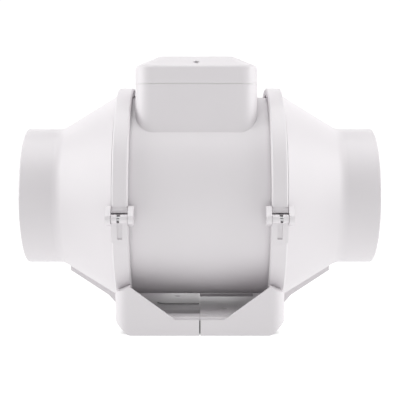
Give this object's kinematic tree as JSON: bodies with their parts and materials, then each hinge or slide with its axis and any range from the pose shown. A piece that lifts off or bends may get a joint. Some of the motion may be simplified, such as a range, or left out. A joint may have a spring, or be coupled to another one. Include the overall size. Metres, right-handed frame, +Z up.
{
  "type": "inline duct fan",
  "caption": "White inline mixed-flow duct fan on a base, with round spigots, a motor module under hinged clamp bands and a terminal box on top.",
  "frame": {"origin": "middle of the base's underside, on the surface that the fan stands on, straight below the middle of the fan axis", "axes": "+X along the fan axis towards the outlet, -Y towards the latches, +Z up from the base"},
  "size_m": [0.246, 0.167, 0.1867],
  "materials": {
    "white_moulding": "satin white ABS",
    "inner_moulding": "satin off-white ABS",
    "pin_steel": "drawn steel",
    "seal_rubber": "matt",
    "gasket_silicone": "matt",
    "gland_nylon": "satin nylon",
    "screw_zinc": "zinc plated",
    "bearing_steel": "ground",
    "core_steel": "stacked sheet",
    "winding_copper": "enamelled copper wire",
    "cast_aluminium": "die cast",
    "lead_sheath": "matt PVC",
    "terminal_plastic": "natural nylon",
    "terminal_brass": "plain",
    "capacitor_case": "matt"
  },
  "bodies": {
    "housing": {"outlet_bracket": "white_moulding", "inlet_bracket": "white_moulding", "motor_casing": "white_moulding", "inlet_bellmouth": "inner_moulding", "guide_vanes": "inner_moulding", "tail_cone": "inner_moulding", "outlet_latch_pin": "pin_steel", "outlet_hinge_pin": "pin_steel", "inlet_latch_pin": "pin_steel", "inlet_hinge_pin": "pin_steel", "outlet_seal": "seal_rubber", "inlet_seal": "seal_rubber", "lead_grommet": "seal_rubber", "gland_seal": "seal_rubber", "lid_gasket": "gasket_silicone", "gland_body": "gland_nylon", "gland_locknut": "gland_nylon", "gland_cap": "gland_nylon", "motor_screws": "screw_zinc", "motor_through_bolts": "screw_zinc", "front_bearing_outer": "bearing_steel", "rear_bearing_outer": "bearing_steel", "stator_core": "core_steel", "stator_windings": "winding_copper", "motor_front_shield": "cast_aluminium", "motor_rear_shield": "cast_aluminium", "motor_lead": "lead_sheath", "terminal_block": "terminal_plastic", "terminal_screws": "terminal_brass", "capacitor": "capacitor_case", "capacitor_clip": "gland_nylon"},
    "rotor": {"shaft": "bearing_steel", "rotor_core": "core_steel", "rotor_end_rings": "cast_aluminium", "impeller": "inner_moulding", "impeller_nut": "screw_zinc", "front_bearing_inner": "bearing_steel", "front_bearing_balls": "bearing_steel", "rear_bearing_inner": "bearing_steel", "rear_bearing_balls": "bearing_steel"},
    "inlet_band": {"inlet_clamp_band": "white_moulding"},
    "outlet_band": {"outlet_clamp_band": "white_moulding"},
    "inlet_latch": {"inlet_latch_lever": "white_moulding"},
    "outlet_latch": {"outlet_latch_lever": "white_moulding"},
    "lid": {"terminal_lid": "white_moulding", "lid_screws": "screw_zinc"}
  },
  "joints": [
    {"name": "rotor_spin", "type": "hinge", "parent": "housing", "child": "rotor", "pos_m": [0, 0, 0.0904], "axis": [1, 0, 0], "continuous": true},
    {"name": "inlet_band_hinge", "type": "hinge", "parent": "housing", "child": "inlet_band", "pos_m": [-0.0521, 0.0799, 0.0786], "axis": [-1, 0, 0], "range_deg": [0, 110]},
    {"name": "inlet_latch_pivot", "type": "hinge", "parent": "housing", "child": "inlet_latch", "pos_m": [-0.0521, -0.0799, 0.0786], "axis": [-1, 0, 0], "range_deg": [0, 85]},
    {"name": "outlet_band_hinge", "type": "hinge", "parent": "housing", "child": "outlet_band", "pos_m": [0.0521, 0.0799, 0.0786], "axis": [-1, 0, 0], "range_deg": [0, 110]},
    {"name": "outlet_latch_pivot", "type": "hinge", "parent": "housing", "child": "outlet_latch", "pos_m": [0.0521, -0.0799, 0.0786], "axis": [-1, 0, 0], "range_deg": [0, 85]},
    {"name": "lid_lift", "type": "slide", "parent": "housing", "child": "lid", "axis": [0, 0, 1], "range_m": [0, 0.04]}
  ]
}
